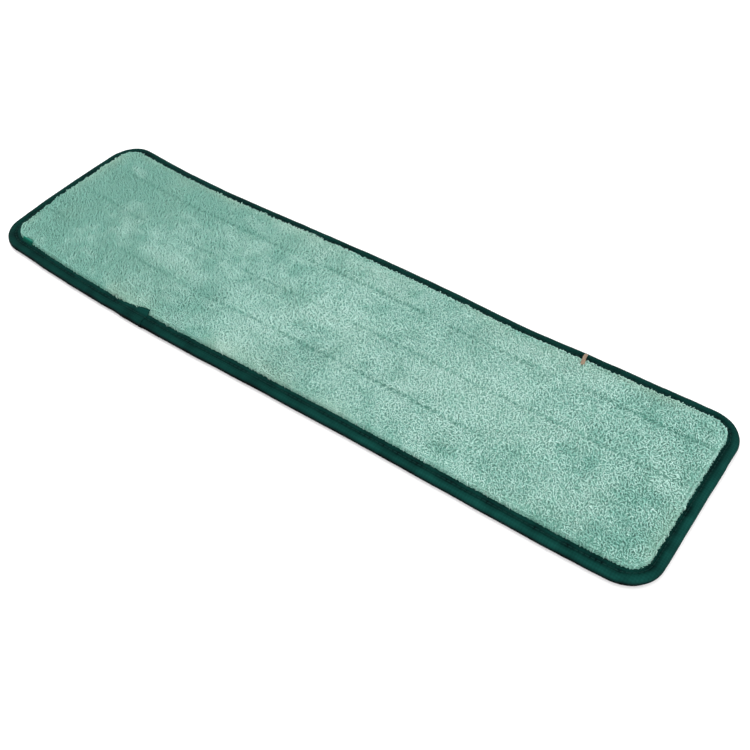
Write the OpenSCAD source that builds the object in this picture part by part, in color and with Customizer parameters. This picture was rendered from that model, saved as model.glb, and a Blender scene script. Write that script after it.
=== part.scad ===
// Flat mop pad: a quilted microfibre pad with a bound edge, lying with its pile up.
// X runs along the pad, Y across it, Z up out of the pile. The origin is the middle of the underside.

/* [Pad] */
// Length of the pad over its binding
pad_length = 457; // [280:1:900]
// Width of the pad over its binding
pad_width = 128; // [110:1:200]
// Radius of the corners at the outer edge of the binding
corner_radius = 20; // [14:1:30]

/* [Layers] */
// Thickness of the bound edge over the binding
edge_thickness = 5; // [4.6:0.1:6]
// Thickness of the loop backing away from the edge
backing_thickness = 1.3; // [1.2:0.1:1.6]
// Thickness of the foam core away from the edge
foam_thickness = 2.4; // [2:0.1:2.6]
// Thickness of the knitted ground that carries the pile
ground_thickness = 1; // [0.8:0.1:1.5]
// Height of the pile above its knitted ground
pile_height = 4.5; // [2:0.1:8]

/* [Binding] */
// Thickness of the binding tape
tape_thickness = 0.9; // [0.6:0.1:1]
// Distance that the tape reaches in over each face
tape_reach = 8.75; // [8:0.25:11]
// Distance of the seam from the outer edge of the tape
seam_inset = 5.2; // [4.5:0.1:6]
// Position along the near side where the tape's free end is sewn down
tape_end_x = -92; // [-110:1:-20]
// Length of the stretch where the tape lies double
tape_overlap = 22; // [10:1:30]
// Extra reach of the tape's free end over the pile
tape_end_flare = 3; // [0:0.5:4]

/* [Threads] */
// Diameter of the sewing thread
thread_diameter = 0.5; // [0.3:0.05:0.6]
// Distance between the rows of quilting
quilt_spacing = 30; // [20:1:36]
// Distance of the middle row from the pad's centre line
quilt_shift = 4; // [-8:1:8]
// Length of one quilting stitch
quilt_stitch = 4.8; // [3:0.1:8]
// Width of the furrow that each row presses into the pile
furrow_width = 1.6; // [1:0.1:3]

/* [Tag] */
// Position of the tag loop along the far side
tag_x = 131.5; // [0:0.5:132]
// Width of the tag loop
tag_width = 2; // [1:0.1:4]
// Thickness of the tag loop
tag_thickness = 0.5; // [0.3:0.1:0.8]

/* [Hidden] */

$fn = 64;
overcut = 1;        // how far a cutting shape runs past the face that it cuts
clearance = 0.2;    // room left round a piece that sits in a recess

// Levels of the layers away from the edge
foam_bottom = backing_thickness;
ground_bottom = foam_bottom + foam_thickness;
ground_top = ground_bottom + ground_thickness;
pile_top = ground_top + pile_height;

// Levels of the layers where the tape squeezes them
rim_bottom = tape_thickness;
rim_top = edge_thickness - tape_thickness;
rim_layer = (rim_top - rim_bottom) / 4;
rim_foam_bottom = rim_bottom + rim_layer;
rim_ground_bottom = rim_top - rim_layer;

fold_radius = edge_thickness / 2;
groove_width = thread_diameter + clearance;
seam_radius = thread_diameter / 2;

// Lengthwise rows of quilting
row_length = pad_length - 2 * (tape_reach + clearance);
stitch_count = floor(row_length / quilt_stitch);
float_lift = 0.4;   // how far a stitch stands above the needle holes at its ends
hole_share = 0.2;   // share of a stitch that slopes down to each needle hole

// The short end of seam thread left near one corner
tail_position = [-200.5 * pad_length / 457, tape_reach + 2.4 - pad_width / 2];
tail_length = 8;
tail_strand = 0.8;
tail_spread = 12;   // degrees between its strands
tail_strands = 5;
tail_width = tail_strand + tail_length * sin(tail_spread * (tail_strands - 1) / 2);

function quilt_y(row) = quilt_shift + (row - 2) * quilt_spacing;

// Height of a stitch at each corner of its outline, from one needle hole to the next
function stitch_line(base) = [
  for (i = [0 : stitch_count - 1])
    for (corner = [[0, 0], [hole_share, float_lift], [1 - hole_share, float_lift]])
      [(i + corner[0]) * quilt_stitch, base + corner[1]],
  [stitch_count * quilt_stitch, base]
];

function backwards(points) = [for (i = [len(points) - 1 : -1 : 0]) points[i]];

// Rectangle with round corners, inset from the pad's outer edge
module pad_outline(inset) {
  radius = corner_radius - inset;
  length = pad_length - 2 * inset;
  width = pad_width - 2 * inset;
  square([length - 2 * radius, width], center = true);
  square([length, width - 2 * radius], center = true);
  for (sx = [-1, 1], sy = [-1, 1])
    translate([sx * (length / 2 - radius), sy * (width / 2 - radius)])
      circle(r = radius);
}

// One layer between two levels
module layer(inset, bottom, top) {
  translate([0, 0, bottom])
    linear_extrude(height = top - bottom)
      pad_outline(inset);
}

// Carries a profile right round the pad: its x is the distance from the outer edge, inwards negative
module around_edge() {
  long_run = pad_length - 2 * corner_radius;
  short_run = pad_width - 2 * corner_radius;
  for (side = [0, 180]) {
    rotate([0, 0, side]) translate([0, pad_width / 2, 0])
      rotate([90, 0, 90]) linear_extrude(height = long_run, center = true) children();
    rotate([0, 0, side + 90]) translate([0, pad_length / 2, 0])
      rotate([90, 0, 90]) linear_extrude(height = short_run, center = true) children();
  }
  for (corner = [[1, 1, 0], [-1, 1, 90], [-1, -1, 180], [1, -1, 270]])
    translate([corner[0] * long_run / 2, corner[1] * short_run / 2, 0])
      rotate([0, 0, corner[2]])
        rotate_extrude(angle = 90)
          translate([corner_radius, 0]) children();
}

// Section of the tape: folded over the edge, with a shallow seam groove in each face
module tape_section() {
  difference() {
    union() {
      translate([-tape_reach, 0]) square([tape_reach - fold_radius, edge_thickness]);
      translate([-fold_radius, fold_radius]) circle(r = fold_radius);
    }
    translate([-tape_reach - overcut, rim_bottom])
      square([tape_reach + overcut - fold_radius, rim_top - rim_bottom]);
    translate([-fold_radius, fold_radius]) circle(r = fold_radius - tape_thickness);
    for (level = [-overcut, edge_thickness - thread_diameter])
      translate([-seam_inset - groove_width / 2, level])
        square([groove_width, overcut + thread_diameter]);
  }
}

// Footprint of the doubled stretch of tape, wider towards its slanted end
module tape_end_outline(margin) {
  near = fold_radius - pad_width / 2;
  far = tape_reach - pad_width / 2 + margin;
  polygon([
    [tape_end_x - tape_overlap, near],
    [tape_end_x - tape_overlap, far],
    [tape_end_x - tape_end_flare, far + tape_end_flare],
    [tape_end_x + margin, far + tape_end_flare / 2],
    [tape_end_x + margin, near]
  ]);
}

module tape_end() {
  difference() {
    translate([0, 0, edge_thickness])
      linear_extrude(height = tape_thickness) tape_end_outline(0);
    translate([tape_end_x, seam_inset - pad_width / 2, edge_thickness])
      cube([4 * tape_overlap, groove_width, 4 * tape_thickness], center = true);
  }
}

// Straight row of joined stitches, its needle holes on the given level
module stitch_row(row, base) {
  line = stitch_line(0);
  translate([-stitch_count * quilt_stitch / 2, quilt_y(row) + thread_diameter / 2, base])
    rotate([90, 0, 0])
      linear_extrude(height = thread_diameter)
        polygon(concat(line, [for (p = backwards(line)) [p[0], p[1] + thread_diameter]]));
}

module furrows(width, bottom, top) {
  for (row = [1 : 3])
    translate([-pad_length / 2, quilt_y(row) - width / 2, bottom])
      cube([pad_length, width, top - bottom]);
}

module pile_cloth() {
  color([0.58, 0.75, 0.70])
    difference() {
      union() {
        layer(fold_radius, rim_ground_bottom, rim_top);
        layer(tape_reach, ground_bottom, pile_top);
      }
      furrows(furrow_width, ground_top, pile_top + overcut);
      translate([0, 0, edge_thickness])
        linear_extrude(height = pile_top) tape_end_outline(clearance);
      translate([tail_position[0], tail_position[1], pile_top])
        cube([tail_length + 1, tail_width + 1, 2 * tail_strand], center = true);
    }
}

module foam_core() {
  color([0.93, 0.91, 0.84]) {
    layer(fold_radius, rim_foam_bottom, rim_ground_bottom);
    layer(tape_reach, foam_bottom, ground_bottom);
  }
}

module loop_backing() {
  color([0.86, 0.88, 0.86])
    difference() {
      union() {
        layer(fold_radius, rim_bottom, rim_foam_bottom);
        layer(tape_reach, 0, foam_bottom);
      }
      furrows(groove_width, -overcut, float_lift + thread_diameter);
    }
}

module binding_tape() {
  color([0.05, 0.24, 0.22]) {
    around_edge() tape_section();
    tape_end();
  }
}

module binding_thread(level) {
  color([0.06, 0.27, 0.25])
    around_edge()
      translate([-seam_inset, level]) circle(r = seam_radius);
}

module quilt_needle_thread(row) {
  color([0.35, 0.62, 0.55]) stitch_row(row, ground_top);
}

module quilt_bobbin_thread(row) {
  color([0.35, 0.62, 0.55])
    translate([0, 0, float_lift + thread_diameter]) mirror([0, 0, 1]) stitch_row(row, 0);
}

// A few crossing strands of seam thread, matted together
module thread_tail() {
  run = tail_length - tail_strand;
  color([0.0, 0.43, 0.31])
    translate([tail_position[0], tail_position[1], pile_top - tail_strand])
      linear_extrude(height = tail_strand)
        for (i = [0 : tail_strands - 1])
          rotate((i - (tail_strands - 1) / 2) * tail_spread) {
            square([run, tail_strand], center = true);
            for (tip = [-run / 2, run / 2])
              translate([tip, 0]) circle(d = tail_strand);
          }
}

// Narrow loop that lies across the tape and bends down over the edge
module tag_loop() {
  bend = 50;
  near = pad_width / 2 - tape_reach + clearance;
  far = pad_width / 2 - fold_radius;
  color([0.75, 0.55, 0.43]) {
    translate([tag_x - tag_width / 2, near, edge_thickness])
      cube([tag_width, far - near, tag_thickness]);
    translate([tag_x, far, fold_radius])
      rotate([90, 0, 90])
        translate([0, 0, -tag_width / 2])
          rotate([0, 0, 90 - bend])
            rotate_extrude(angle = bend)
              translate([fold_radius, 0]) square([tag_thickness, tag_width]);
  }
}

pile_cloth();
foam_core();
loop_backing();
binding_tape();
binding_thread(edge_thickness - seam_radius);  // binding_needle_thread
binding_thread(seam_radius);  // binding_bobbin_thread
quilt_needle_thread(1);  // quilt_needle_thread_1
quilt_needle_thread(2);  // quilt_needle_thread_2
quilt_needle_thread(3);  // quilt_needle_thread_3
quilt_bobbin_thread(1);  // quilt_bobbin_thread_1
quilt_bobbin_thread(2);  // quilt_bobbin_thread_2
quilt_bobbin_thread(3);  // quilt_bobbin_thread_3
thread_tail();
tag_loop();
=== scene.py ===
"""Flat mop pad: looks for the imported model. Shapes are worked out in millimetres and stored in metres."""

import math

import bpy
import numpy as np
from mathutils import Matrix, Vector


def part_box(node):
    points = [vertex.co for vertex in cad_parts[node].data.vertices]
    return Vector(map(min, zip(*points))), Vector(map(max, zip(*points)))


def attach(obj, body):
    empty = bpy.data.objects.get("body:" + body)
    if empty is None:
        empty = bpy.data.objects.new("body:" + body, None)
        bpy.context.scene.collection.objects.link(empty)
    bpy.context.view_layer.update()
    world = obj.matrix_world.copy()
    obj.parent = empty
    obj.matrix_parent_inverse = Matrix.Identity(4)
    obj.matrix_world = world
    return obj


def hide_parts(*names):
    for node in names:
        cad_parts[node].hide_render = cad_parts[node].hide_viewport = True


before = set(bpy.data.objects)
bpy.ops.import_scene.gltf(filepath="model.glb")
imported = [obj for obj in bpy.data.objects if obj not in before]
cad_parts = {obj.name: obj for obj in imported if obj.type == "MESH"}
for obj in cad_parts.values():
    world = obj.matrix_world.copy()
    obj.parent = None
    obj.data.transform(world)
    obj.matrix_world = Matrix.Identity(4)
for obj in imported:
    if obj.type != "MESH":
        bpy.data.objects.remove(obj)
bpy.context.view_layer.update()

# ---------------------------------------------------------------- sizes, from the frame, in millimetres
MM = 0.001


def box_mm(node):
    low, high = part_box(node)
    return np.array(low) / MM, np.array(high) / MM


tape_low, tape_high = box_mm("binding_tape")
seam_low, seam_high = box_mm("binding_needle_thread")
LENGTH = tape_high[0] - tape_low[0]
WIDTH = tape_high[1] - tape_low[1]
EDGE = seam_high[2]                     # thickness of the bound edge
PILE_TOP = box_mm("pile_cloth")[1][2]
THREAD = seam_high[2] - seam_low[2]
SEAM_INSET = (LENGTH - (seam_high[0] - seam_low[0]) + THREAD) / 2
GROUND_TOP = box_mm("quilt_needle_thread_1")[0][2]
FOAM_LOW, FOAM_HIGH = box_mm("foam_core")[0][2], box_mm("foam_core")[1][2]
QUILT_Y = [np.mean([b[1] for b in box_mm(f"quilt_needle_thread_{row}")]) for row in (1, 2, 3)]
QUILT_HALF = box_mm("quilt_needle_thread_1")[1][0]
CORNER = 20.0                           # outer corner radius of the binding
REACH = 8.75                            # how far the tape reaches in over each face
FOLD = EDGE / 2                         # radius of the tape's fold
TAPE_END_X = -92.0                      # where the tape's free end is sewn down on the near side
TAPE_LAP = 22.0                         # length over which the tape lies double
SEAM_STITCH = 3.0
QUILT_STITCH = 4.8
WORN_X = -190.0                         # left of here the pile is fully worn

random = np.random.default_rng(240)


# ---------------------------------------------------------------- small tools
def bump(x, centre, spread):
    return np.exp(-0.5 * ((x - centre) / spread) ** 2)


def smooth(x, low, high):
    t = np.clip((x - low) / (high - low), 0, 1)
    return t * t * (3 - 2 * t)


def cut_outline(points):
    """The pad was cut and bound by hand, so its outline isn't quite true, and every piece follows it.

    Each side bows by a few millimetres, spread over a stretch of it, and each corner is pulled a little.
    """
    out = np.array(points, dtype=float)
    x, y = np.array(out[..., 0]), np.array(out[..., 1])
    share = (y + WIDTH / 2) / WIDTH
    near = (4.4 * bump(x, -213, 40) - 0.8 * bump(x, -70, 27) + 0.5 * bump(x, 62, 35)
            + 0.1 + 0.5 * smooth(x, 175, 215))
    far = (1.5 * bump(x, -220, 32) - 1.6 * bump(x, -133, 38) + 0.9 * bump(x, -3, 34)
           - 1.5 * bump(x, 95, 22) + 0.6 * bump(x, 212, 25) - 0.2 + 1.0 * bump(x, -207, 13))
    near_left = bump(np.hypot(x + 216, y + 54), 0, 17)
    near_right = bump(np.hypot(x - 216, y + 60), 0, 11)
    far_right = bump(np.hypot(x - 220, y - 56), 0, 9)
    far_left = bump(np.hypot(x + 219, y - 62), 0, 7)
    left_end = 0.1 * bump(np.hypot(x + 230, y + 38), 0, 10) + 0.5 * bump(np.hypot(x + 228, y - 46), 0, 10)
    out[..., 0] += (1.5 * (1 - smooth(x, -228, -140)) + 0.1 * smooth(x, 120, 220) + 2.3 * near_left
                    - 0.3 * near_right + 0.6 * far_right - 0.5 * far_left + left_end)
    out[..., 1] += (near * (1 - share) + far * share + 1.0 * near_left + 0.6 * near_right
                    + 0.1 * far_right + 0.9 * far_left)
    return out


def soft_noise(x, y, cell, seed):
    """Smooth random hills from 0 to 1, about one for each cell."""
    lattice = np.random.default_rng(seed).random((256, 256))
    u, v = np.asarray(x) / cell + 100, np.asarray(y) / cell + 100
    i, j = np.floor(u).astype(int), np.floor(v).astype(int)
    fu, fv = u - i, v - j
    fu, fv = fu * fu * (3 - 2 * fu), fv * fv * (3 - 2 * fv)
    i, j = i % 255, j % 255
    low = lattice[i, j] * (1 - fu) + lattice[i + 1, j] * fu
    high = lattice[i, j + 1] * (1 - fu) + lattice[i + 1, j + 1] * fu
    return low * (1 - fv) + high * fv


def add_mesh(name, points, quads, triangles=None, values=None):
    """A smooth-shaded mesh object. values holds a number for each point, by attribute name."""
    mesh = bpy.data.meshes.new(name)
    places = cut_outline(np.asarray(points).reshape(-1, 3)) * MM
    mesh.vertices.add(len(places))
    mesh.vertices.foreach_set("co", places.ravel())
    rings = [np.asarray(quads).reshape(-1, 4)]
    corners, starts, at = [], [], 0
    if triangles is not None and len(triangles):
        rings.append(np.asarray(triangles).reshape(-1, 3))
    for ring in rings:
        corners.append(ring.ravel())
        starts.append(at + np.arange(len(ring)) * ring.shape[1])
        at += ring.size
    corners, starts = np.concatenate(corners).astype(np.int32), np.concatenate(starts).astype(np.int32)
    mesh.loops.add(len(corners))
    mesh.loops.foreach_set("vertex_index", corners)
    mesh.polygons.add(len(starts))
    mesh.polygons.foreach_set("loop_start", starts)
    mesh.update(calc_edges=True)
    mesh.polygons.foreach_set("use_smooth", np.ones(len(starts), dtype=bool))
    for key, numbers in (values or {}).items():
        layer = mesh.attributes.new(key, "FLOAT", "POINT")
        layer.data.foreach_set("value", np.asarray(numbers, dtype=np.float32).ravel())
    piece = bpy.data.objects.new(name, mesh)
    bpy.context.scene.collection.objects.link(piece)
    return piece


def grid_quads(rows, columns, wrap_rows=False, wrap_columns=False):
    """Faces of a grid of points stored row by row."""
    i, j = np.meshgrid(np.arange(rows if wrap_rows else rows - 1),
                       np.arange(columns if wrap_columns else columns - 1), indexing="ij")
    i2, j2 = (i + 1) % rows, (j + 1) % columns
    corners = [i * columns + j, i * columns + j2, i2 * columns + j2, i2 * columns + j]
    return np.stack(corners, -1).reshape(-1, 4)


def tubes(paths, radii, across, sides):
    """Points and faces of many closed tubes. paths is (tube, step, xyz), across is square to each path."""
    count, steps, _ = paths.shape
    along = np.gradient(paths, axis=1)
    along /= np.linalg.norm(along, axis=2, keepdims=True) + 1e-9
    first = across[:, None, :] - (across[:, None, :] * along).sum(2, keepdims=True) * along
    first /= np.linalg.norm(first, axis=2, keepdims=True) + 1e-9
    second = np.cross(along, first)
    turn = np.arange(sides) * 2 * math.pi / sides
    ring = (np.cos(turn)[None, None, :, None] * first[:, :, None, :]
            + np.sin(turn)[None, None, :, None] * second[:, :, None, :])
    points = paths[:, :, None, :] + ring * radii[:, :, None, None]
    one = grid_quads(steps, sides, wrap_columns=True)
    start = (np.arange(count) * steps * sides)[:, None, None]
    fan = np.array([[0, k + 1, k] for k in range(1, sides - 1)])
    last = (steps - 1) * sides
    ends = np.concatenate([fan, last + fan[:, [0, 2, 1]]])
    return points.reshape(-1, 3), (one[None] + start).reshape(-1, 4), (ends[None] + start).reshape(-1, 3)


def edge_stations(step):
    """Centres and outward normals round the pad: a point lies at centre + normal * (CORNER - inset)."""
    half_x, half_y = LENGTH / 2 - CORNER, WIDTH / 2 - CORNER
    turns = max(8, round(CORNER * math.pi / 2 / step))
    centres, normals = [], []
    for k, (sx, sy) in enumerate([(1, -1), (1, 1), (-1, 1), (-1, -1)]):
        corner = np.array([sx * half_x, sy * half_y])
        angles = (k - 1) * math.pi / 2 + np.arange(turns) / turns * math.pi / 2
        for a in angles:
            centres.append(corner)
            normals.append([math.cos(a), math.sin(a)])
        a = k * math.pi / 2
        run = (2 * half_y) if k % 2 == 0 else (2 * half_x)
        pieces = round(run / step)
        way = np.array([-math.sin(a), math.cos(a)])
        for i in range(pieces):
            centres.append(corner + way * run * i / pieces)
            normals.append([math.cos(a), math.sin(a)])
    return np.array(centres), np.array(normals)


def at_inset(stations, inset):
    centres, normals = stations
    return centres + normals * (CORNER - inset)


def distance_along(places):
    """Distance round the closed line of places, at each of them, and its whole length."""
    steps = np.linalg.norm(np.roll(places, -1, axis=0) - places, axis=1)
    return np.concatenate([[0], np.cumsum(steps)[:-1]]), steps.sum()


def edge_distance(x, y):
    """How far a point lies inside the pad's outer edge."""
    qx, qy = np.abs(x) - (LENGTH / 2 - CORNER), np.abs(y) - (WIDTH / 2 - CORNER)
    outside = np.hypot(np.maximum(qx, 0), np.maximum(qy, 0))
    return CORNER - outside - np.minimum(np.maximum(qx, qy), 0)


# ---------------------------------------------------------------- materials
def new_material(name):
    material = bpy.data.materials.new(name)
    material.use_nodes = True
    nodes, links = material.node_tree.nodes, material.node_tree.links
    shader = next(n for n in nodes if n.type == "BSDF_PRINCIPLED")
    return material, nodes, links, shader


def object_space(nodes, links, turn=0.0):
    place = nodes.new("ShaderNodeTexCoord")
    mapping = nodes.new("ShaderNodeMapping")
    mapping.inputs["Rotation"].default_value = (0, 0, turn)
    links.new(place.outputs["Object"], mapping.inputs["Vector"])
    return mapping.outputs["Vector"]


def noise(nodes, links, vector, scale, detail=3.0, roughness=0.6):
    node = nodes.new("ShaderNodeTexNoise")
    node.inputs["Scale"].default_value = scale
    node.inputs["Detail"].default_value = detail
    node.inputs["Roughness"].default_value = roughness
    links.new(vector, node.inputs["Vector"])
    return node.outputs["Fac"]


def ramp(nodes, links, fac, stops):
    node = nodes.new("ShaderNodeValToRGB")
    band = node.color_ramp
    while len(band.elements) < len(stops):
        band.elements.new(0.5)
    for element, (place, colour) in zip(band.elements, stops):
        element.position = place
        element.color = (*colour, 1)
    links.new(fac, node.inputs["Fac"])
    return node.outputs["Color"]


def mix_colour(nodes, links, fac, a, b, kind="MIX"):
    node = nodes.new("ShaderNodeMix")
    node.data_type = "RGBA"
    node.blend_type = kind
    for value, key in ((fac, 0), (a, 6), (b, 7)):
        if isinstance(value, (int, float)):
            node.inputs[key].default_value = value
        elif isinstance(value, tuple):
            node.inputs[key].default_value = (*value, 1)
        else:
            links.new(value, node.inputs[key])
    return node.outputs[2]


def scaled(nodes, links, value, low, high, new_low, new_high):
    node = nodes.new("ShaderNodeMapRange")
    for key, number in (("From Min", low), ("From Max", high), ("To Min", new_low), ("To Max", new_high)):
        node.inputs[key].default_value = number
    links.new(value, node.inputs["Value"])
    return node.outputs["Result"]


def combine(nodes, links, kind, a, b):
    node = nodes.new("ShaderNodeMath")
    node.operation = kind
    for value, socket in ((a, node.inputs[0]), (b, node.inputs[1])):
        if isinstance(value, (int, float)):
            socket.default_value = value
        else:
            links.new(value, socket)
    return node.outputs[0]


def add_bump(nodes, links, shader, height, distance, strength=1.0):
    node = nodes.new("ShaderNodeBump")
    node.inputs["Distance"].default_value = distance
    node.inputs["Strength"].default_value = strength
    links.new(height, node.inputs["Height"])
    links.new(node.outputs["Normal"], shader.inputs["Normal"])


def attribute(nodes, name):
    node = nodes.new("ShaderNodeAttribute")
    node.attribute_name = name
    return node.outputs["Fac"]


def pile_material(name, low, middle, high, fibre_depth):
    """Microfibre loops: darker and greener toward the root as painted shade down between the loops, light at
    the tip, with soft patches of shade and warmth.
    """
    material, nodes, links, shader = new_material(name)
    space = object_space(nodes, links)
    by_height = ramp(nodes, links, attribute(nodes, "tip"), [(0.0, low), (0.55, middle), (1.0, high)])
    shade = ramp(nodes, links, attribute(nodes, "shade"), [
        (0.0, (0.58, 0.76, 0.72)), (0.5, (0.95, 0.98, 0.97)), (1.0, (1.22, 1.12, 1.14))])
    colour = mix_colour(nodes, links, 1.0, by_height, shade, "MULTIPLY")
    warm = mix_colour(nodes, links, attribute(nodes, "warmth"), colour, (0.50, 0.62, 0.50))
    fibre = noise(nodes, links, space, 2600, 2)
    flecks = ramp(nodes, links, fibre, [(0.3, (0.84, 0.87, 0.86)), (0.7, (1.10, 1.08, 1.08))])
    colour = mix_colour(nodes, links, 1.0, warm, flecks, "MULTIPLY")
    links.new(colour, shader.inputs["Base Color"])
    links.new(scaled(nodes, links, fibre, 0.3, 0.7, 0.80, 0.98), shader.inputs["Roughness"])
    shader.inputs["Specular IOR Level"].default_value = 0.15
    shader.inputs["Sheen Weight"].default_value = 0.15
    shader.inputs["Sheen Roughness"].default_value = 0.5
    add_bump(nodes, links, shader, fibre, fibre_depth, 0.8)
    return material


def ground_material():
    """Knitted ground under the pile, seen only between the loops; its dark colour is painted shade between
    the loops.
    """
    material, nodes, links, shader = new_material("pile_ground_knit")
    space = object_space(nodes, links)
    grain = noise(nodes, links, space, 900)
    # Dark greens: painted shade of the pile down between the loops.
    links.new(ramp(nodes, links, grain, [(0.3, (0.05, 0.17, 0.13)), (0.7, (0.12, 0.32, 0.25))]),
              shader.inputs["Base Color"])
    links.new(scaled(nodes, links, grain, 0.3, 0.7, 0.85, 1.0), shader.inputs["Roughness"])
    add_bump(nodes, links, shader, grain, 0.0004)
    return material


def binding_material():
    """A dark woven tape: fine crossing ribs, a painted highlight along its fold and painted shade where it
    turns under.
    """
    material, nodes, links, shader = new_material("binding_weave")
    space = object_space(nodes, links)
    ribs = []
    for axis in ("X", "Y"):
        wave = nodes.new("ShaderNodeTexWave")
        wave.bands_direction = axis
        wave.inputs["Scale"].default_value = 200
        wave.inputs["Distortion"].default_value = 1.2
        wave.inputs["Detail"].default_value = 1.0
        links.new(space, wave.inputs["Vector"])
        ribs.append(wave.outputs["Fac"])
    weave = combine(nodes, links, "MULTIPLY", combine(nodes, links, "ADD", ribs[0], ribs[1]), 0.5)
    patches = noise(nodes, links, space, 120, 4)
    fuzz = noise(nodes, links, space, 1800, 2)
    tone = combine(nodes, links, "ADD", combine(nodes, links, "MULTIPLY", weave, 0.25),
                   combine(nodes, links, "MULTIPLY", patches, 0.75))
    cloth = ramp(nodes, links, tone, [(0.25, (0.0008, 0.0155, 0.0130)), (0.75, (0.0020, 0.0290, 0.0235))])
    # The tape's attribute darkens it for stains and painted shade, and lightens it for a painted highlight
    # along the fold.
    stain_and_shading = ramp(nodes, links, attribute(nodes, "stain_and_shading"), [
        (0.0, (0.02, 0.02, 0.02)), (0.25, (0.45, 0.50, 0.56)),
        (0.5, (1.0, 1.0, 1.0)), (1.0, (2.7, 2.2, 2.2))])
    links.new(mix_colour(nodes, links, 1.0, cloth, stain_and_shading, "MULTIPLY"), shader.inputs["Base Color"])
    links.new(scaled(nodes, links, fuzz, 0.3, 0.7, 0.65, 0.9), shader.inputs["Roughness"])
    shader.inputs["Specular IOR Level"].default_value = 0.03
    height = combine(nodes, links, "ADD", weave, combine(nodes, links, "MULTIPLY", fuzz, 0.6))
    add_bump(nodes, links, shader, height, 0.00015)
    return material


def thread_material(name, dark, light):
    """Twisted sewing thread: slanting strands and a slight sheen."""
    material, nodes, links, shader = new_material(name)
    space = object_space(nodes, links, turn=0.6)
    twist = nodes.new("ShaderNodeTexWave")
    twist.inputs["Scale"].default_value = 900
    twist.inputs["Distortion"].default_value = 1.0
    links.new(space, twist.inputs["Vector"])
    colour = ramp(nodes, links, twist.outputs["Fac"], [(0.2, dark), (0.8, light)])
    links.new(colour, shader.inputs["Base Color"])
    fuzz = noise(nodes, links, space, 3000, 2)
    links.new(scaled(nodes, links, fuzz, 0.3, 0.7, 0.55, 0.8), shader.inputs["Roughness"])
    shader.inputs["Specular IOR Level"].default_value = 0.1
    add_bump(nodes, links, shader, twist.outputs["Fac"], 0.00008)
    return material


def foam_material():
    material, nodes, links, shader = new_material("foam_open_cell")
    space = object_space(nodes, links)
    cells = nodes.new("ShaderNodeTexVoronoi")
    cells.inputs["Scale"].default_value = 1400
    links.new(space, cells.inputs["Vector"])
    colour = ramp(nodes, links, cells.outputs["Distance"], [
        (0.0, (0.60, 0.56, 0.45)), (0.6, (0.86, 0.83, 0.73))])
    links.new(colour, shader.inputs["Base Color"])
    links.new(scaled(nodes, links, cells.outputs["Distance"], 0, 0.6, 0.8, 1.0), shader.inputs["Roughness"])
    add_bump(nodes, links, shader, cells.outputs["Distance"], 0.0003)
    return material


def backing_material():
    """Brushed loop knit: fine ribs under a mat of tiny loops."""
    material, nodes, links, shader = new_material("backing_loop_knit")
    space = object_space(nodes, links)
    curls = noise(nodes, links, space, 1100, 4, 0.7)
    patches = noise(nodes, links, space, 45, 3)
    tone = combine(nodes, links, "ADD", combine(nodes, links, "MULTIPLY", curls, 0.6),
                   combine(nodes, links, "MULTIPLY", patches, 0.4))
    links.new(ramp(nodes, links, tone, [(0.35, (0.50, 0.54, 0.52)), (0.65, (0.80, 0.83, 0.81))]),
              shader.inputs["Base Color"])
    links.new(scaled(nodes, links, curls, 0.3, 0.7, 0.8, 1.0), shader.inputs["Roughness"])
    shader.inputs["Sheen Weight"].default_value = 0.3
    add_bump(nodes, links, shader, curls, 0.0004)
    return material


# ---------------------------------------------------------------- the camera, and the room
def make_camera():
    """Looks down across the pad from its near side, past its right end."""
    camera = bpy.data.objects.new("camera", bpy.data.cameras.new("camera"))
    bpy.context.scene.collection.objects.link(camera)
    place = Vector((0.2758, -0.3442, 0.4282))
    ahead = Vector((-0.39856, 0.55788, -0.72796)).normalized()
    right = Vector((0.81694, 0.57670, -0.00532))
    right = (right - ahead * right.dot(ahead)).normalized()
    up = right.cross(ahead)
    turn = Matrix((right, up, -ahead)).transposed()
    camera.matrix_world = Matrix.Translation(place) @ turn.to_4x4()
    camera.data.sensor_width = 36.0
    camera.data.lens = 50.35
    camera.data.clip_start = 0.01
    bpy.context.scene.camera = camera


def area_light(name, place, size, power):
    lamp = bpy.data.lights.new(name, "AREA")
    lamp.size = size
    lamp.energy = power
    light = bpy.data.objects.new(name, lamp)
    light.location = place
    light.rotation_euler = (-Vector(place)).to_track_quat("-Z", "Y").to_euler()
    bpy.context.scene.collection.objects.link(light)


def make_room():
    """Plain white floor, even light all round, and two soft lamps."""
    floor_size = 6.0
    mesh = bpy.data.meshes.new("floor")
    half = floor_size / 2
    corners = [(-half, -half, 0), (half, -half, 0), (half, half, 0), (-half, half, 0)]
    mesh.from_pydata(corners, [], [(0, 1, 2, 3)])
    floor = bpy.data.objects.new("floor", mesh)
    floor.location.z = -0.0004
    bpy.context.scene.collection.objects.link(floor)
    material, _, _, shader = new_material("floor_paper")
    shader.inputs["Base Color"].default_value = (1.0, 1.0, 1.0, 1)
    shader.inputs["Roughness"].default_value = 0.9
    shader.inputs["Specular IOR Level"].default_value = 0.1
    floor.data.materials.append(material)
    world = bpy.data.worlds.new("studio")
    world.use_nodes = True
    background = world.node_tree.nodes["Background"]
    background.inputs["Color"].default_value = (1, 1, 1, 1)
    background.inputs["Strength"].default_value = 1.12
    bpy.context.scene.world = world
    area_light("key", (-0.7, 0.3, 1.6), 1.0, 12)
    area_light("front", (0.9, -1.1, 0.7), 1.0, 14)
    bpy.context.scene.view_settings.view_transform = "Standard"


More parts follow.
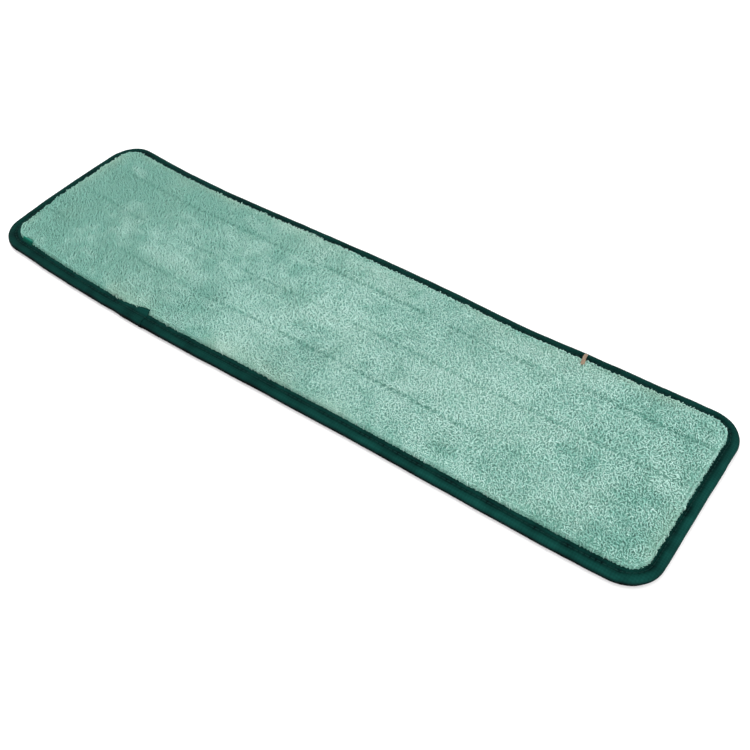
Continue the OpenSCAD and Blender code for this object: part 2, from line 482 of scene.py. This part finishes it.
# ---------------------------------------------------------------- the pile cloth
ROW_PITCH = 2.09        # distance between the knitted rows of loops
LOOP_PITCH = 1.25       # distance between loops along a row
LOOP_STEPS = 5
LOOP_SIDES = 3
WALL_PITCH = 1.1        # distance between the loops that stand out of the pile's side
WALL_TIERS = 4
STRIPS = 6              # the pile is stored in this many strips along the pad
MAT_DEPTH = 1.45        # how far below the loops' tops the matted body of the pile lies
PRESS_DEPTH = 1.5       # how far a quilting row pulls the pile down
PILE_SHIFT = (1.3, -0.7)                # the pile lies a little off centre in the tape's frame
PILE_WAVES = (12, 12)   # cell size and seed of the pile's low swells
NAP_WAY = 2.1           # the way most loops lie, as an angle from +X
WALL = REACH + 0.2      # how far in the side wall of the pile's matted body stands
TUFT_X = box_mm("thread_tail")[0][0] + 1.5


def place_loops():
    """Foot of each loop: two staggered loops to a knitted row, inside the tape."""
    rows = np.arange(-WIDTH / 2 + REACH - 1, WIDTH / 2 - REACH + 1, ROW_PITCH / 2)
    columns = np.arange(-LENGTH / 2 + REACH - 1, LENGTH / 2 - REACH + 1, LOOP_PITCH)
    x, y = np.meshgrid(columns, rows)
    x = x + (np.arange(len(rows)) % 2)[:, None] * LOOP_PITCH / 2
    x = (x + random.uniform(-0.4, 0.4, x.shape)).ravel()
    y = (y + random.uniform(-0.3, 0.3, y.shape)).ravel()
    inset = edge_distance(x, y)
    keep = inset > REACH - 0.1 + 0.4 * random.random(len(x))
    return x[keep], y[keep], inset[keep]


def quilt_press(x, y):
    """From 0 to 1, how hard a quilting row pulls the pile down at a place."""
    press = np.zeros_like(x)
    for row, line in enumerate(QUILT_Y):
        beat = 0.5 + 0.5 * np.cos(2 * math.pi * (x / QUILT_STITCH + 0.37 * row))
        patchy = smooth(soft_noise(x, y * 0, 26, 90 + row), 0.15, 0.65)
        press += bump(y + PILE_SHIFT[1], line, 0.75) * (0.25 + 0.75 * beat) * (0.25 + 0.75 * patchy)
    return np.clip(press, 0, 1)


def edge_press(x, y, depth):
    """From 0 to 1, how flat the pile's near edge lies, under the tape's free end and the thread tuft."""
    near = (y < 0) * (1 - smooth(depth, REACH + 1.8, REACH + 3.6))
    tape_end = smooth(x, TAPE_END_X - 34, TAPE_END_X - 16)
    tape_end = tape_end * (1 - smooth(x, TAPE_END_X - 0.8, TAPE_END_X))
    tuft = 0.8 * bump(x, TUFT_X, 3.0) * (depth < REACH + 2.0)
    return near * np.maximum(tape_end, tuft)


def mat_level(x, y, depth):
    """Top of the matted body of the pile: round at the shoulder, drawn in along the quilting rows."""
    up = np.clip((depth - WALL) / 2.0, 0, 1)
    shoulder = np.sqrt(np.clip(1 - (1 - up) ** 2, 0, 1))
    top = PILE_TOP - MAT_DEPTH + 0.35 * (soft_noise(x, y, *PILE_WAVES) - 0.5)
    top = top - 0.85 * PRESS_DEPTH * quilt_press(x, y)
    top = top - 1.6 * edge_press(x, y, depth)
    return EDGE - 0.6 + (top - EDGE + 0.6) * shoulder


def liveliness(x):
    """How rough the pile is: matted smooth at the left end, fresh at the right."""
    return 0.24 + 0.96 * smooth(x, WORN_X, 110)


def combed(x):
    """From 0 to 1, how far the pile is matted down and combed one way: it's worn at the left end."""
    return 1 - smooth(x, WORN_X, 90)


def pile_tones(x, y, depth, press):
    """Shade and warmth of the pile at a place, each from 0 to 1."""
    patch = 0.40 * soft_noise(x, y, 34, 31) + 0.32 * soft_noise(x, y, 13, 34)
    patch += 0.28 * soft_noise(x, y, 5, 32)
    worn = 0.52 * (1 - smooth(x, WORN_X, 10)) + 0.14 * smooth(x, 110, 190) + 0.08 * bump(depth, REACH, 8)
    worn += 0.14 * bump(np.hypot(x - 150, y + 45), 0, 26)
    worn -= 0.16 * bump(np.hypot((x + 108) / 1.7, y - 32), 0, 20)
    green = 0.30 * smooth(soft_noise(x, y, 9, 35), 0.70, 0.95)
    # press darkens the pile along the quilting rows: painted shade in their furrows.
    shade = 0.50 + (1.15 + 0.65 * combed(x)) * (patch - 0.5) - 0.40 * press - worn - green
    warmth = (0.05 + 0.26 * bump(depth, REACH, 5)) * smooth(soft_noise(x, y, 20, 33), 0.3, 0.9)
    return shade, np.clip(warmth, 0, 1)


def make_mat(material):
    """The matted body of the pile, closed underneath by the knitted ground."""
    def upper(x, y, depth):
        curls = np.random.default_rng(7).uniform(-0.28, 0.28, x.shape) * smooth(depth, REACH, REACH + 1)
        return mat_level(x, y, depth) + curls * liveliness(x)

    def lower(x, y, depth):
        return np.full(x.shape, GROUND_TOP - 0.1)

    piece = make_layer("pile_mat", WALL, (1.02, 1.02), upper, lower, PILE_SHIFT)
    x, y, level = np.array([v.co[:] for v in piece.data.vertices]).T / MM
    depth = edge_distance(x, y)
    shade, warmth = pile_tones(x, y, depth, quilt_press(x, y))
    curls = np.random.default_rng(8).normal(0, 0.06, len(x))
    # Darker lower down: painted shade in the gaps between the loops; darker along the quilting rows: painted
    # shade in their furrows.
    tip = 0.4 * smooth(level, EDGE - 0.5, PILE_TOP - 2)
    tip += (0.6 - tip) * 0.65 * combed(x) * smooth(depth, REACH, REACH + 3) - 0.2 * quilt_press(x, y)
    for key, numbers in (("tip", tip), ("shade", np.clip(shade + curls, 0, 1)), ("warmth", warmth)):
        layer = piece.data.attributes.new(key, "FLOAT", "POINT")
        layer.data.foreach_set("value", np.asarray(numbers, dtype=np.float32))
    piece.data.materials.append(material)
    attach(piece, "root")
    return piece


def wall_loops():
    """Loops that stand out of the pile's side, in tiers: their paths, thickness, places and insets."""
    stations = edge_stations(WALL_PITCH)
    centres, normals = np.tile(stations[0], (WALL_TIERS, 1)), np.tile(stations[1], (WALL_TIERS, 1))
    count = len(centres)
    tier = np.repeat(np.arange(WALL_TIERS), len(stations[0]))
    height = tier / (WALL_TIERS - 1)
    level = EDGE + 0.1 + (PILE_TOP - EDGE - 1.2) * height + random.uniform(-0.3, 0.3, count)
    tucked = smooth(-normals[:, 1], 0.8, 1.0)       # the tape holds the near side in a straighter line
    out = random.uniform(0.5, 1.0, count) * (1 - 0.25 * height) * (1 - 0.8 * tucked)
    slide = random.uniform(-WALL_PITCH / 2, WALL_PITCH / 2, count)
    wide = random.uniform(0.35, 0.7, count)
    drop = random.normal(0.25, 0.25, count)
    along = np.stack([-normals[:, 1], normals[:, 0]], -1)
    feet = centres + normals * (CORNER - WALL - 0.5 - 0.5 * height)[:, None] + along * slide[:, None]
    paths = np.zeros((count, LOOP_STEPS, 3))
    for step, (side, reach) in enumerate([(-1.0, 0.0), (-0.8, 0.75), (0.0, 1.0), (0.8, 0.75), (1.0, 0.0)]):
        sideways, outward = side * wide, reach * (out + 0.5)
        paths[:, step, :2] = feet + along * sideways[:, None] + normals * outward[:, None]
        paths[:, step, 2] = level - drop * reach
    paths[..., :2] += np.array(PILE_SHIFT)
    across = np.concatenate([-normals, np.full((count, 1), 0.3)], -1)
    low = edge_press(feet[:, 0], feet[:, 1], np.full(count, WALL)) < 0.3
    keep = low | (level < EDGE + 1.2)
    return paths[keep], across[keep], feet[keep], (tier[keep] + 0.5) / WALL_TIERS


def make_loops(material):
    """All the pile's loops, on its top and its side, as closed tubes in strips along the pad."""
    x, y, inset = place_loops()
    count = len(x)
    press = quilt_press(x, y)
    edge = bump(inset, REACH, 1.8)
    foot = mat_level(x, y, inset) - 0.35
    lively = liveliness(x)
    top = PILE_TOP + 0.55 * (soft_noise(x, y, *PILE_WAVES) - 0.7)
    top += random.uniform(-0.5, 0.12, count) * lively
    top -= PRESS_DEPTH * press + 0.9 * edge + 2.4 * edge_press(x, y, inset)
    # Loops lean together in patches, and lean out over the tape on the far side and the left end
    lean_way = 2 * math.pi * (soft_noise(x, y, 38, 21) + 0.35 * soft_noise(x, y, 11, 22)) + 0.8
    lean_size = 0.2 + 0.8 * smooth(soft_noise(x, y, 24, 23), 0.35, 0.85)
    lean_x = np.cos(lean_way) * lean_size + random.normal(0, 0.3, count)
    lean_y = np.sin(lean_way) * lean_size + random.normal(0, 0.3, count)
    reach_y = np.abs(y) > WIDTH / 2 - REACH - 6
    reach_x = np.abs(x) > LENGTH / 2 - REACH - 6
    lean_y += edge * reach_y * np.where(y > 0, random.uniform(0.0, 1.3, count), 0.5)
    lean_x += edge * reach_x * np.where(x < 0, -random.uniform(0.0, 1.3, count), 0.3)
    turn = NAP_WAY + random.normal(0, 0.75, count) * (1 - 0.6 * combed(x))
    tucked = edge * reach_y * (y < 0)
    wide = random.uniform(0.60, 1.15, count) * (1 + 0.7 * combed(x)) * (1 - 0.55 * tucked)
    thick = random.uniform(0.22, 0.32, count)
    # Half the arch's width and its height at each step from one foot to the other
    half_way = np.array([-1.0, -0.8, 0.0, 0.8, 1.0])
    rise = np.array([0.0, 0.72, 1.0, 0.72, 0.0])
    fat = np.array([0.9, 1.0, 1.1, 1.0, 0.9])
    s = half_way[None] * wide[:, None] + random.normal(0, 0.08, (count, LOOP_STEPS))
    curl = random.normal(0, 0.16, (count, LOOP_STEPS))
    cos_t, sin_t = np.cos(turn)[:, None], np.sin(turn)[:, None]
    paths = np.stack([
        x[:, None] + PILE_SHIFT[0] + cos_t * s - sin_t * curl + lean_x[:, None] * rise,
        y[:, None] + PILE_SHIFT[1] + sin_t * s + cos_t * curl + lean_y[:, None] * rise,
        foot[:, None] + rise[None] * np.maximum(top - foot, 0.5)[:, None]], -1)
    across = np.stack([-np.sin(turn), np.cos(turn), np.zeros(count)], -1)
    radii = thick[:, None] * fat[None]
    shade, warmth = pile_tones(x, y, inset, press)
    shade = np.clip(shade + random.normal(0, 0.16, count) * lively, 0, 1)
    # Darker towards the root: painted shade down between the loops; darker along the quilting rows: painted
    # shade in their furrows.
    tip = np.broadcast_to(0.25 + 0.75 * rise, (count, LOOP_STEPS))
    tip = tip + (0.72 - tip) * 0.65 * combed(x)[:, None] - 0.38 * press[:, None]
    side_paths, side_across, feet, height = wall_loops()
    side_shade, side_warmth = pile_tones(feet[:, 0], feet[:, 1], np.full(len(feet), WALL), 0)
    side_shade = np.clip(side_shade + random.normal(0, 0.14, len(feet)), 0, 1)
    paths, across = np.concatenate([paths, side_paths]), np.concatenate([across, side_across])
    radii = np.concatenate([radii, np.outer(random.uniform(0.24, 0.32, len(feet)), fat)])
    x = np.concatenate([x, feet[:, 0]])
    shade, warmth = np.concatenate([shade, side_shade]), np.concatenate([warmth, side_warmth])
    # Lower tiers of the side loops are darker: painted shade down the pile's side.
    tip = np.concatenate([tip, np.outer(0.45 + 0.4 * height, 0.5 + 0.5 * rise)])
    strip = np.clip(((x + LENGTH / 2) / LENGTH * STRIPS).astype(int), 0, STRIPS - 1)
    made = []
    for k in range(STRIPS):
        pick = strip == k
        points, quads, ends = tubes(paths[pick], radii[pick], across[pick], LOOP_SIDES)
        values = {
            "tip": np.repeat(np.clip(tip[pick], 0, 1).ravel(), LOOP_SIDES),
            "shade": np.repeat(shade[pick], LOOP_STEPS * LOOP_SIDES),
            "warmth": np.repeat(warmth[pick], LOOP_STEPS * LOOP_SIDES)}
        piece = add_mesh(f"pile_loops_{k + 1}", points, quads, ends, values)
        piece.data.materials.append(material)
        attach(piece, "root")
        made.append(piece)
    return made


# ---------------------------------------------------------------- the flat layers under the pile
RIM_LOW, RIM_HIGH = 0.9, EDGE - 0.9     # levels of the squeezed layers inside the tape
RIM_LAYER = (RIM_HIGH - RIM_LOW) / 4


def past_tape(depth):
    """From 0 under the tape, where the layers are squeezed, to 1 in the open field."""
    return smooth(depth, REACH - 0.4, REACH + 0.5)


def rounded_grid(inset, step_x, step_y):
    """Grid of places that fills the pad's outline at an inset, its corners pulled in to the arcs."""
    half_x, half_y, radius = LENGTH / 2 - inset, WIDTH / 2 - inset, CORNER - inset
    columns, rows = round(2 * half_x / step_x), round(2 * half_y / step_y)
    x, y = np.meshgrid(np.linspace(-half_x, half_x, columns + 1), np.linspace(-half_y, half_y, rows + 1),
                       indexing="ij")
    u, v = np.maximum(np.abs(x) - half_x + radius, 0), np.maximum(np.abs(y) - half_y + radius, 0)
    reach = np.hypot(u, v)
    pull = np.where(reach > 0, np.maximum(u, v) / np.maximum(reach, 1e-9), 1)
    return x - np.sign(x) * u * (1 - pull), y - np.sign(y) * v * (1 - pull)


def make_layer(name, inset, steps, upper, lower, shift=(0, 0)):
    """Closed layer between two levels, each a function of the place and its distance from the edge."""
    x, y = rounded_grid(inset, *steps)
    depth = edge_distance(x, y)
    top = np.stack([x, y, upper(x, y, depth)], -1)
    bottom = np.stack([x, y, lower(x, y, depth)], -1)
    points = np.concatenate([top, bottom[:, ::-1]], axis=1) + np.array([*shift, 0])
    rows, around, _ = points.shape
    half = around // 2
    quads = grid_quads(rows, around, wrap_columns=True)[:, ::-1]
    j = np.arange(half - 1)
    cap = np.stack([j, j + 1, around - 2 - j, around - 1 - j], -1)
    last = cap[:, ::-1] + (rows - 1) * around
    return add_mesh(name, points, np.concatenate([quads, cap, last]))


def make_ground(material):
    """Knitted cloth that carries the loops: low ribs along the pad, dipping under the tape."""
    def upper(x, y, depth):
        ribs = 0.18 * np.cos(2 * math.pi * y / ROW_PITCH) * smooth(depth, REACH, REACH + 1)
        field = GROUND_TOP - 0.2 + ribs - 0.3 * quilt_press(x, y)
        return RIM_HIGH + (field - RIM_HIGH) * past_tape(depth)

    def lower(x, y, depth):
        rim = RIM_HIGH - RIM_LAYER
        return rim + (FOAM_HIGH - rim) * past_tape(depth)

    piece = make_layer("pile_ground", FOLD, (3.0, 0.7), upper, lower)
    piece.data.materials.append(material)
    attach(piece, "root")
    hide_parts("pile_cloth")
    return piece


def make_foam(material):
    """Foam sheet between the two cloths, squeezed thin under the tape."""
    def upper(x, y, depth):
        rim = RIM_HIGH - RIM_LAYER
        return rim + (FOAM_HIGH - 0.05 - rim) * past_tape(depth)

    def lower(x, y, depth):
        rim = RIM_LOW + RIM_LAYER
        return rim + (FOAM_LOW + 0.05 - rim) * past_tape(depth)

    piece = make_layer("foam_sheet", FOLD + 0.3, (3.0, 3.0), upper, lower)
    piece.data.materials.append(material)
    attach(piece, "root")
    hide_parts("foam_core")


def make_backing(material):
    """Loop-faced cloth: its matted underside rises a little along the quilting rows."""
    def upper(x, y, depth):
        rim = RIM_LOW + RIM_LAYER
        return rim + (FOAM_LOW - 0.05 - rim) * past_tape(depth)

    def lower(x, y, depth):
        matted = 0.16 * soft_noise(x, y, 1.9, 51) + 0.10 * soft_noise(x, y, 7, 52)
        rows = sum(bump(y, line, 0.9) for line in QUILT_Y)
        beat = 0.6 + 0.4 * np.cos(2 * math.pi * x / QUILT_STITCH)
        field = matted + 0.55 * rows * beat
        return RIM_LOW + (field - RIM_LOW) * smooth(depth, REACH - 0.5, REACH + 0.9)

    piece = make_layer("backing_cloth", FOLD, (1.2, 1.0), upper, lower)
    piece.data.materials.append(material)
    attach(piece, "root")
    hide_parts("loop_backing")


# ---------------------------------------------------------------- the binding
TAPE_THICK = 0.9
LAP_THICK = 0.4         # how far the lapped end of the tape stands proud of the single tape
SEAM_DIP = 0.36         # depth of the furrow that the seam draws in the tape
SEAM_UNDER = 0.42       # level of the seam's lower stitches
QUILT_UNDER = 0.72      # level of the quilting rows' lower stitches
END_FLARE = 0.52        # how much wider the tape gets at its free end
END_CLIMB = 2.3         # how far the free end climbs over the pile's edge


def seam_phase(stations):
    """Stitches counted along the seam, at each station, and how many there are in all."""
    along, whole = distance_along(at_inset(stations, SEAM_INSET))
    count = round(whole / SEAM_STITCH)
    return along / whole * count, count


def tape_surface(inset, phase, places, side):
    """How far the tape's skin stands off its plain level: furrow, needle dimples, puckers, soft waves."""
    x, y = places[..., 0], places[..., 1]
    hole = bump(np.abs(phase - np.round(phase)), 0, 0.13)
    puff = 0.5 - 0.5 * np.cos(2 * math.pi * phase)
    uneven = 0.5 + soft_noise(x, y, 6, 68)
    rise = -uneven * (SEAM_DIP * bump(inset, SEAM_INSET, 0.6) + 0.25 * hole * bump(inset, SEAM_INSET, 0.8))
    rise += 0.16 * bump(inset, 3.4, 0.9) * (0.4 + 0.6 * puff)
    rise += 0.12 * bump(inset, 6.9, 0.8) * (0.5 + 0.5 * puff)
    rise -= 0.30 * smooth(inset, 7.8, REACH)
    rise += 0.30 * (soft_noise(x, y, 7, 61 + side) - 0.5) + 0.14 * (soft_noise(x, y, 2.2, 63 + side) - 0.5)
    return rise


def tape_stains_and_shading(points, phase):
    """From 0, painted shade where the tape turns under, to 1, a painted highlight along the fold. 0.5 is the
    plain tape.
    """
    x, y, level = points[..., 0], points[..., 1], points[..., 2]
    depth = edge_distance(x, y)
    # Painted highlight on the outer fold, strongest along the near side and the right end, the sides that
    # face the front lamp.
    front_lit = 0.2 + 0.8 * smooth(x, -120, 160) * smooth(0.35 * x - y, -20, 60)
    fold_highlight = 0.30 * front_lit * bump(depth, 1.6, 1.8) * smooth(level, 1.6, 3.6)
    inner = 0.16 * smooth(depth, 6.0, 7.0) * (level > FOLD)
    hole = bump(np.abs(phase - np.round(phase)), 0, 0.18)
    patchy = smooth(soft_noise(x, y, 4.5, 66), 0.35, 0.8)
    # Painted shade in the seam's furrow and needle holes.
    sewn = (0.05 + (0.10 + 0.16 * hole) * patchy) * bump(depth, SEAM_INSET, 0.9) * (level > FOLD)
    stains = 0.16 * smooth(soft_noise(x, y, 8, 67), 0.45, 0.9)
    # Painted shade on the lower part of the fold where the tape turns under, reaching higher along the near
    # side.
    near_side = smooth(-y, WIDTH / 2 - 12, WIDTH / 2 - 4)
    under = 0.49 * (1 - smooth(level - 0.9 * near_side, 1.9, 3.6)) * (1 - smooth(depth, 1.8, 2.8))
    return np.clip(0.5 + fold_highlight + inner - sewn - stains - under, 0, 1)


def tape_rings(stations, phase, grow=0.0, flare=1.0):
    """Rows of points across the tape: from its inner edge on top, round the fold, to the one below."""
    flat = np.array([8.75, 8.5, 8.0, 7.4, 6.8, 6.2, 5.8, 5.5, 5.2, 4.9, 4.6, 4.2, 3.7, 3.1])
    turns = np.linspace(math.pi / 2, -math.pi / 2, 11)
    centres, normals = stations
    apart = centres + 30 * normals
    wobble = 0.35 * (soft_noise(apart[:, 0], apart[:, 1], 9, 71) - 0.5)
    # The tape lies further in at the left end and along the far side
    wider = np.maximum(-normals[:, 0], 0) * PILE_SHIFT[0] - np.maximum(normals[:, 1], 0) * PILE_SHIFT[1]
    stretch = (1 + wider / (REACH - SEAM_INSET)) * flare
    rings = []
    for inset in flat:
        here = SEAM_INSET + (inset - SEAM_INSET) * np.where(inset > SEAM_INSET, stretch, 1.0)
        places = centres + normals * (CORNER - here)[:, None]
        level = EDGE + grow + tape_surface(inset, phase, places, 0)
        rings.append(np.column_stack([places, level]))
    for turn in turns:
        out = FOLD - (FOLD + grow) * math.cos(turn)
        places = centres + normals * (CORNER - out + wobble * math.cos(turn))[:, None]
        lift = tape_surface(FOLD, phase, places, 0) * abs(math.sin(turn))
        level = FOLD + (FOLD + grow) * math.sin(turn) + np.where(turn > 0, lift, 0.0)
        rings.append(np.column_stack([places, level]))
    for inset in flat[::-1]:
        places = at_inset(stations, inset)
        rise = np.minimum(0.5 * tape_surface(inset, phase, places, 1), 0)
        rings.append(np.column_stack([places, -rise]))
    return np.array(rings)


def inner_rings(stations):
    """The tape's hidden inside face, back from the inner edge below to the one on top."""
    rings = []
    for inset in (REACH, 5.5, FOLD):
        rings.append(np.column_stack([at_inset(stations, inset), np.full(len(stations[0]), TAPE_THICK)]))
    for turn in np.linspace(-math.pi / 2, math.pi / 2, 7)[1:-1]:
        inset = FOLD - (FOLD - TAPE_THICK) * math.cos(turn)
        level = FOLD + (FOLD - TAPE_THICK) * math.sin(turn)
        rings.append(np.column_stack([at_inset(stations, inset), np.full(len(stations[0]), level)]))
    for inset in (FOLD, 5.5, REACH):
        level = EDGE - TAPE_THICK
        rings.append(np.column_stack([at_inset(stations, inset), np.full(len(stations[0]), level)]))
    return np.array(rings)


def make_binding(material):
    """The tape, folded over the pad's edge right round it, and its free end."""
    stations = edge_stations(0.75)
    phase, _ = seam_phase(stations)
    points = np.concatenate([tape_rings(stations, phase), inner_rings(stations)])
    rows, columns, _ = points.shape
    quads = grid_quads(rows, columns, wrap_rows=True, wrap_columns=True)[:, ::-1]
    piece = add_mesh("binding", points, quads, values={"stain_and_shading": tape_stains_and_shading(points, phase)})
    piece.data.materials.append(material)
    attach(piece, "root")
    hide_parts("binding_tape")
    end = make_tape_end(material, phase, stations)


def make_tape_end(material, phase, stations):
    """The tape's free end, lapped over its start: it widens, climbs the pile's edge and is cut square."""
    near = (stations[1][:, 1] < -0.999)
    x = stations[0][:, 0]
    pick = near & (x > TAPE_END_X - TAPE_LAP) & (x < TAPE_END_X)
    part = (stations[0][pick], stations[1][pick])
    x = x[pick]
    share = (x - (TAPE_END_X - TAPE_LAP)) / TAPE_LAP
    flare = 1 + END_FLARE * share ** 1.6
    base = tape_rings(part, phase[pick], 0.0, flare)
    lifted = tape_rings(part, phase[pick], LAP_THICK, flare)
    blend = smooth(share, 0.0, 0.3)[None, :, None]
    outside = base * (1 - blend) + lifted * blend
    climb = END_CLIMB * smooth(share, 0.15, 1.0)[None, :] * smooth(WIDTH / 2 + outside[..., 1], 6.4, 9.4)
    outside[..., 2] += climb * (outside[..., 2] > FOLD)
    outside[..., 2] = np.maximum(outside[..., 2], 0.02)
    inside = base.copy()
    inside[..., 2] = np.where(base[..., 2] > FOLD, outside[..., 2] - 0.7, base[..., 2] + 0.3)
    points = np.concatenate([outside, inside[::-1]])
    rows, columns, _ = points.shape
    quads = grid_quads(rows, columns, wrap_rows=True)[:, ::-1]
    half = rows // 2
    j = np.arange(half - 1)
    start = np.stack([j, j + 1, rows - 2 - j, rows - 1 - j], -1) * columns
    quads = np.concatenate([quads, start, start[:, ::-1] + columns - 1])
    piece = add_mesh("binding_free_end", points, quads, values={"stain_and_shading": tape_stains_and_shading(points, phase[pick])})
    piece.data.materials.append(material)
    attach(piece, "root")
    return piece


def seam_stitches(name, node, level, up, material):
    """One row of single stitches right round the tape, each from needle hole to needle hole."""
    stations = edge_stations(0.25)
    phase, count = seam_phase(stations)
    places = at_inset(stations, SEAM_INSET)
    share = np.array([0.07, 0.22, 0.5, 0.78, 0.93])
    lift = np.array([-0.42, 0.02, 0.10, 0.02, -0.42])
    want = (np.arange(count)[:, None] + share[None]) % count
    x = np.interp(want, np.append(phase, count), np.append(places[:, 0], places[0, 0]))
    y = np.interp(want, np.append(phase, count), np.append(places[:, 1], places[0, 1]))
    lap = smooth(x, TAPE_END_X - TAPE_LAP, TAPE_END_X - 0.75 * TAPE_LAP) * (x < TAPE_END_X)
    lap = lap * (y < 0) * (up > 0)
    z = level + up * (lift[None] + LAP_THICK * lap)
    paths = np.stack([x, y, z], -1)
    way = paths[:, -1] - paths[:, 0]
    across = np.stack([-way[:, 1], way[:, 0], np.zeros(count)], -1)
    radii = np.full((count, 5), THREAD / 2) * np.array([0.8, 1, 1.1, 1, 0.8])
    piece = add_mesh(name, *tubes(paths, radii, across, 6))
    piece.data.materials.append(material)
    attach(piece, "root")
    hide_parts(node)


def quilt_stitches(name, node, row, level, up, material):
    """One quilting row's stitches on one face. up is 1 on the pile's side and -1 on the backing's."""
    count = int(2 * QUILT_HALF / QUILT_STITCH)
    share = np.array([0.06, 0.2, 0.5, 0.8, 0.94])
    lift = np.array([-0.35, 0.35, 0.55, 0.35, -0.35])
    x = (np.arange(count)[:, None] - count / 2 + share[None]) * QUILT_STITCH
    y = QUILT_Y[row - 1] + random.normal(0, 0.05, x.shape)
    paths = np.stack([x, y, level + up * np.broadcast_to(lift, x.shape)], -1)
    across = np.tile([0.0, 1.0, 0.0], (count, 1))
    radii = np.full((count, 5), THREAD / 2) * np.array([0.8, 1, 1.15, 1, 0.8])
    piece = add_mesh(name, *tubes(paths, radii, across, 6))
    piece.data.materials.append(material)
    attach(piece, "root")
    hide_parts(node)


# ---------------------------------------------------------------- the two odd ends
TUFT_STRANDS = 34
TUFT_SPACING = 0.27


def curved_tubes(name, routes, radius, sides, material):
    """Tubes along smooth curves through a few points each."""
    steps = 14
    paths = []
    for route in routes:
        route = np.array(route, dtype=float)
        t = np.linspace(0, len(route) - 1, steps)
        knots = np.arange(len(route))
        line = np.stack([np.interp(t, knots, route[:, k]) for k in range(3)], -1)
        for _ in range(2):
            line[1:-1] = (line[:-2] + 2 * line[1:-1] + line[2:]) / 4
        paths.append(line)
    paths = np.array(paths)
    way = paths[:, -1] - paths[:, 0]
    across = np.stack([-way[:, 1], way[:, 0], np.zeros(len(paths))], -1) + 1e-6
    radii = np.full((len(paths), steps), radius)
    radii[:, [0, -1]] *= 0.6
    piece = add_mesh(name, *tubes(paths, radii, across, sides))
    piece.data.materials.append(material)
    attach(piece, "root")
    return piece


def tuft_material():
    """Matted green fluff: dark at the seam, fading to the pile's colour at its ends."""
    material, nodes, links, shader = new_material("tail_thread_fluff")
    space = object_space(nodes, links)
    split = nodes.new("ShaderNodeSeparateXYZ")
    links.new(space, split.inputs[0])
    fuzz = noise(nodes, links, space, 1500, 3)
    height = scaled(nodes, links, split.outputs["Z"], (EDGE + 1.6) * MM, (PILE_TOP - 0.6) * MM, 0, 1)
    fade = combine(nodes, links, "ADD", height, combine(nodes, links, "MULTIPLY", fuzz, 0.3))
    links.new(ramp(nodes, links, fade, [
        (0.1, (0.0, 0.040, 0.026)), (0.6, (0.003, 0.12, 0.08)), (1.0, (0.08, 0.29, 0.225))]),
        shader.inputs["Base Color"])
    links.new(scaled(nodes, links, fuzz, 0.3, 0.7, 0.75, 0.95), shader.inputs["Roughness"])
    shader.inputs["Specular IOR Level"].default_value = 0.1
    add_bump(nodes, links, shader, fuzz, 0.0002)
    return material


def make_tail(material):
    """A matted tuft of seam thread that comes out from under the tape and lies up over the pile's edge."""
    edge = -WIDTH / 2 + REACH + PILE_SHIFT[1]
    routes = []
    for k in range(TUFT_STRANDS):
        x = TUFT_X - 1.6 + (k - (TUFT_STRANDS - 1) / 2) * TUFT_SPACING + random.normal(0, 0.2)
        lean = random.normal(0.0, 0.4)
        reach = random.uniform(0.0, 1.0)
        routes.append([
            (x, edge - 1.2, EDGE + 0.1), (x + 0.2 * lean, edge - 0.6, EDGE + 1.0),
            (x + 0.5 * lean, edge + 0.0, EDGE + 2.0), (x + 0.9 * lean - 0.2, edge + 0.4, PILE_TOP - 1.6),
            (x + 1.4 * lean - 0.7, edge + 0.8 + 0.7 * reach, PILE_TOP - 2.0 + 0.025 * k - 0.5 * reach)])
    piece = curved_tubes("thread_tuft", routes, 0.34, 5, material)
    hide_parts("thread_tail")


def make_tag(material):
    """Three soft tan strands side by side, from the pile's far edge out over the tape."""
    low, high = box_mm("tag_loop")
    x = (low[0] + high[0]) / 2
    edge = WIDTH / 2 - REACH
    routes = []
    for side in (-0.62, 0.05, 0.62):
        routes.append([
            (x + 4.2 + side * 1.2, edge - 5.4 + 0.5 * side, PILE_TOP - 0.6),
            (x + 3.9 + side * 1.15, edge - 4.4, PILE_TOP + 0.25),
            (x + 3.4 + side, edge - 2.2, PILE_TOP + 0.4), (x + 2.8 + side * 0.9, edge - 0.2, PILE_TOP - 0.4),
            (x + 2.1 + side * 0.8, edge + 1.6, EDGE + 2.1), (x + 1.6 + side * 0.9, edge + 3.6, EDGE + 0.9),
            (x + 1.2 + side, edge + 6.2, EDGE + 0.2), (x + 1.0 + side * 0.8, WIDTH / 2 - 0.7, FOLD + 1.4)])
    piece = curved_tubes("tag_strands", routes, 0.5, 7, material)
    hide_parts("tag_loop")


# ---------------------------------------------------------------- build
make_camera()
make_room()

loop_stuff = pile_material(
    "pile_microfibre", (0.13, 0.36, 0.29), (0.27, 0.52, 0.445), (0.47, 0.72, 0.65), 0.0002)
mat_stuff = pile_material(
    "pile_matted", (0.12, 0.33, 0.27), (0.24, 0.47, 0.40), (0.44, 0.69, 0.61), 0.0005)
loops = make_loops(loop_stuff)
mat = make_mat(mat_stuff)
ground = make_ground(ground_material())
make_foam(foam_material())
make_backing(backing_material())

make_binding(binding_material())

seam_stuff = thread_material("seam_thread_twist", (0.001, 0.017, 0.014), (0.003, 0.036, 0.030))
seam_stitches("seam_stitches_top", "binding_needle_thread", EDGE - SEAM_DIP + 0.05, 1, seam_stuff)
seam_stitches("seam_stitches_under", "binding_bobbin_thread", SEAM_UNDER, -1, seam_stuff)

quilt_stuff = thread_material("quilt_thread_twist", (0.04, 0.16, 0.12), (0.12, 0.33, 0.26))
for row in (1, 2, 3):
    quilt_stitches(
        f"quilt_stitches_top_{row}", f"quilt_needle_thread_{row}", row, GROUND_TOP + 0.3, 1, quilt_stuff)
    quilt_stitches(
        f"quilt_stitches_under_{row}", f"quilt_bobbin_thread_{row}", row, QUILT_UNDER, -1, quilt_stuff)

make_tail(tuft_material())
make_tag(thread_material("tag_cotton", (0.13, 0.085, 0.055), (0.40, 0.30, 0.21)))
